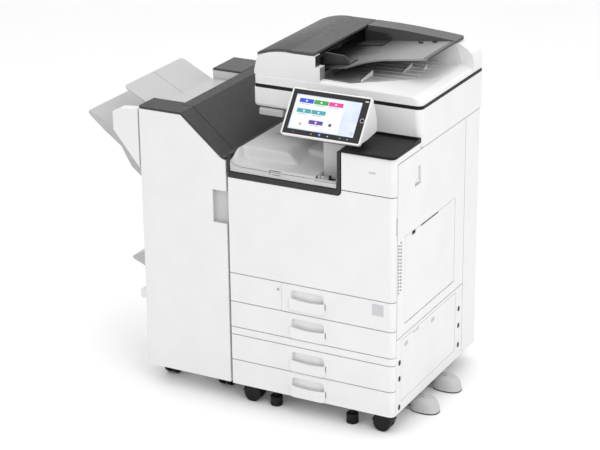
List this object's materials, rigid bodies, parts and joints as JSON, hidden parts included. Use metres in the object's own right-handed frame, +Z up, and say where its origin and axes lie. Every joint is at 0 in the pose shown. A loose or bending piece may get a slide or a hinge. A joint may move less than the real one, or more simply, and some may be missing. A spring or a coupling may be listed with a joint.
{
  "type": "photocopier",
  "caption": "Floor-standing colour photocopier with tilting touch panel, sheet-feeding scanner lid, paper drawers, side doors and a left-hand finisher, standing on casters.",
  "frame": {"origin": "centre of the whole outline, on the floor", "axes": "+X to the machine's right, +Y from the front to the back, +Z up"},
  "size_m": [1.241, 0.679, 1.1778],
  "materials": {
    "white_cover": "fine satin moulded texture",
    "dark_cover": "dark satin moulded plastic",
    "grey_tray": "light grey satin plastic",
    "feed_tray_grey": "mid grey satin plastic",
    "steel_sheet": "zinc plated sheet",
    "black_rubber": "matt",
    "black_plastic": "satin",
    "platen": "polished",
    "screen": "gloss",
    "foot_grey": "satin",
    "toner": "satin",
    "wheel": "satin"
  },
  "bodies": {
    "main_body": {"base_frame": "steel_sheet", "main_frame": "steel_sheet", "levelling_feet": "black_plastic", "stabiliser_covers": "foot_grey", "rear_cover": "white_cover", "power_inlet": "black_plastic", "right_rear_cover": "white_cover", "drawer_divider": "white_cover", "lower_side_cover": "white_cover", "upper_front_cover": "white_cover", "exit_trim": "dark_cover", "work_shelf": "dark_cover", "output_tray": "grey_tray", "cavity_wall": "grey_tray", "scanner_housing": "white_cover", "scanner_top_frame": "dark_cover", "platen_glass": "platen", "panel_bracket": "steel_sheet", "inner_cover": "black_plastic", "toner_bottles": "toner", "fuser_unit": "steel_sheet", "transfer_belt_unit": "black_plastic", "finisher_frame": "steel_sheet", "finisher_top_cover": "dark_cover", "finisher_rear_box": "dark_cover", "finisher_wing": "white_cover", "proof_tray": "grey_tray"},
    "front_door_body": {"front_door": "white_cover"},
    "paper_tray_4_body": {"paper_tray_4": "white_cover"},
    "paper_tray_3_body": {"paper_tray_3": "white_cover"},
    "paper_tray_2_body": {"paper_tray_2": "white_cover"},
    "paper_tray_1_body": {"paper_tray_1": "white_cover"},
    "right_door_body": {"right_door": "white_cover"},
    "bypass_tray_body": {"bypass_tray": "white_cover"},
    "right_door_lever_body": {"right_door_lever": "grey_tray"},
    "lower_right_door_body": {"lower_right_door": "white_cover"},
    "adf_lid": {"adf_body": "white_cover"},
    "adf_feed_cover_body": {"adf_feed_cover": "dark_cover"},
    "adf_input_tray_body": {"adf_input_tray": "feed_tray_grey"},
    "adf_guide_front_body": {"adf_guide_front": "feed_tray_grey"},
    "adf_guide_rear_body": {"adf_guide_rear": "feed_tray_grey"},
    "adf_roller_body": {"adf_roller": "black_rubber"},
    "scanner_carriage_body": {"scanner_carriage": "steel_sheet"},
    "panel_body": {"panel_housing": "white_cover", "panel_screen": "screen"},
    "home_button_body": {"home_button": "black_plastic"},
    "finisher_door_body": {"finisher_door": "white_cover"},
    "shift_tray_body": {"shift_tray": "grey_tray"},
    "booklet_tray_body": {"booklet_tray": "grey_tray"},
    "stapler_body": {"stapler_unit": "black_plastic"},
    "caster_left": {"caster_fork_left": "wheel"},
    "wheel_left": {"caster_wheel_left": "wheel"},
    "caster_right": {"caster_fork_right": "wheel"},
    "wheel_right": {"caster_wheel_right": "wheel"},
    "caster_finisher_left": {"caster_fork_finisher_left": "wheel"},
    "wheel_finisher_left": {"caster_wheel_finisher_left": "wheel"},
    "caster_finisher_right": {"caster_fork_finisher_right": "wheel"},
    "wheel_finisher_right": {"caster_wheel_finisher_right": "wheel"},
    "rear_wheels_body": {"rear_wheels": "wheel"},
    "finisher_rear_wheels_body": {"finisher_rear_wheels": "wheel"}
  },
  "joints": [
    {"name": "front_door_hinge", "type": "hinge", "parent": "main_body", "child": "front_door_body", "pos_m": [-0.0225, -0.3245, 0.64], "axis": [0, 0, -1], "range_deg": [0, 95]},
    {"name": "paper_tray_4_slide", "type": "slide", "parent": "main_body", "child": "paper_tray_4_body", "axis": [0, -1, 0], "range_m": [0, 0.42]},
    {"name": "paper_tray_3_slide", "type": "slide", "parent": "main_body", "child": "paper_tray_3_body", "axis": [0, -1, 0], "range_m": [0, 0.42]},
    {"name": "paper_tray_2_slide", "type": "slide", "parent": "main_body", "child": "paper_tray_2_body", "axis": [0, -1, 0], "range_m": [0, 0.42]},
    {"name": "paper_tray_1_slide", "type": "slide", "parent": "main_body", "child": "paper_tray_1_body", "axis": [0, -1, 0], "range_m": [0, 0.42]},
    {"name": "right_door_hinge", "type": "hinge", "parent": "main_body", "child": "right_door_body", "pos_m": [0.5535, 0.2085, 0.62], "axis": [0, 0, 1], "range_deg": [0, 85]},
    {"name": "bypass_tray_hinge", "type": "hinge", "parent": "right_door_body", "child": "bypass_tray_body", "pos_m": [0.5505, -0.0575, 0.375], "axis": [0, 1, 0], "range_deg": [0, 78]},
    {"name": "right_door_lever_hinge", "type": "hinge", "parent": "right_door_body", "child": "right_door_lever_body", "pos_m": [0.5495, -0.1625, 0.86], "axis": [0, -1, 0], "range_deg": [0, 20], "stiffness_Nm_per_rad": 0.4},
    {"name": "lower_right_door_hinge", "type": "hinge", "parent": "main_body", "child": "lower_right_door_body", "pos_m": [0.5535, 0.1495, 0.21], "axis": [0, 0, 1], "range_deg": [0, 85]},
    {"name": "adf_lid_hinge", "type": "hinge", "parent": "main_body", "child": "adf_lid", "pos_m": [0.2605, 0.3255, 1.063], "axis": [-1, 0, 0], "range_deg": [0, 68]},
    {"name": "adf_feed_cover_hinge", "type": "hinge", "parent": "adf_lid", "child": "adf_feed_cover_body", "pos_m": [-0.0185, 0.0875, 1.151], "axis": [0, -1, 0], "range_deg": [0, 75]},
    {"name": "adf_input_tray_hinge", "type": "hinge", "parent": "adf_lid", "child": "adf_input_tray_body", "pos_m": [0.1845, 0.0875, 1.175], "axis": [0, -1, 0], "range_deg": [0, 20]},
    {"name": "adf_guide_front_slide", "type": "slide", "parent": "adf_input_tray_body", "child": "adf_guide_front_body", "axis": [0, 1, 0], "range_m": [0, 0.06]},
    {"name": "adf_guide_rear_slide", "type": "slide", "parent": "adf_input_tray_body", "child": "adf_guide_rear_body", "axis": [0, -1, 0], "range_m": [0, 0.06]},
    {"name": "adf_roller_spin", "type": "hinge", "parent": "adf_lid", "child": "adf_roller_body", "pos_m": [0.1355, 0.0875, 1.131], "axis": [0, 1, 0], "continuous": true},
    {"name": "scanner_carriage_slide", "type": "slide", "parent": "main_body", "child": "scanner_carriage_body", "axis": [1, 0, 0], "range_m": [0, 0.42]},
    {"name": "panel_tilt", "type": "hinge", "parent": "main_body", "child": "panel_body", "pos_m": [0.3805, -0.2205, 0.992], "axis": [-1, 0, 0], "range_deg": [0, 28]},
    {"name": "home_button_press", "type": "slide", "parent": "panel_body", "child": "home_button_body", "axis": [0, 0.7955, -0.606], "range_m": [0, 0.0012], "stiffness_N_per_m": 600},
    {"name": "finisher_door_hinge", "type": "hinge", "parent": "main_body", "child": "finisher_door_body", "pos_m": [-0.3515, -0.3245, 0.5], "axis": [0, 0, -1], "range_deg": [0, 95]},
    {"name": "shift_tray_lift", "type": "slide", "parent": "main_body", "child": "shift_tray_body", "axis": [0, 0, -1], "range_m": [0, 0.17]},
    {"name": "booklet_tray_hinge", "type": "hinge", "parent": "main_body", "child": "booklet_tray_body", "pos_m": [-0.3635, -0.0425, 0.453], "axis": [0, 1, 0], "range_deg": [0, 18]},
    {"name": "stapler_slide", "type": "slide", "parent": "main_body", "child": "stapler_body", "axis": [0, 1, 0], "range_m": [0, 0.28]},
    {"name": "caster_swivel_left", "type": "hinge", "parent": "main_body", "child": "caster_left", "pos_m": [0.0125, -0.2855, 0.06], "axis": [0, 0, 1], "continuous": true},
    {"name": "caster_wheel_left_spin", "type": "hinge", "parent": "caster_left", "child": "wheel_left", "pos_m": [0.0285, -0.2855, 0.03], "axis": [0, 1, 0], "continuous": true},
    {"name": "caster_swivel_right", "type": "hinge", "parent": "main_body", "child": "caster_right", "pos_m": [0.4905, -0.2905, 0.06], "axis": [0, 0, 1], "continuous": true},
    {"name": "caster_wheel_right_spin", "type": "hinge", "parent": "caster_right", "child": "wheel_right", "pos_m": [0.5065, -0.2905, 0.03], "axis": [0, 1, 0], "continuous": true},
    {"name": "caster_swivel_finisher_left", "type": "hinge", "parent": "main_body", "child": "caster_finisher_left", "pos_m": [-0.3235, -0.2405, 0.06], "axis": [0, 0, 1], "continuous": true},
    {"name": "caster_wheel_finisher_left_spin", "type": "hinge", "parent": "caster_finisher_left", "child": "wheel_finisher_left", "pos_m": [-0.3235, -0.2245, 0.03], "axis": [1, 0, 0], "continuous": true},
    {"name": "caster_swivel_finisher_right", "type": "hinge", "parent": "main_body", "child": "caster_finisher_right", "pos_m": [-0.1115, -0.2405, 0.06], "axis": [0, 0, 1], "continuous": true},
    {"name": "caster_wheel_finisher_right_spin", "type": "hinge", "parent": "caster_finisher_right", "child": "wheel_finisher_right", "pos_m": [-0.1115, -0.2245, 0.03], "axis": [1, 0, 0], "continuous": true},
    {"name": "rear_wheels_spin", "type": "hinge", "parent": "main_body", "child": "rear_wheels_body", "pos_m": [0.2605, 0.2675, 0.03], "axis": [1, 0, 0], "continuous": true},
    {"name": "finisher_rear_wheels_spin", "type": "hinge", "parent": "main_body", "child": "finisher_rear_wheels_body", "pos_m": [-0.2195, 0.2275, 0.03], "axis": [1, 0, 0], "continuous": true}
  ],
  "couplings": [
    {"joint": "adf_guide_rear_slide", "follows": "adf_guide_front_slide", "ratio": 1}
  ]
}
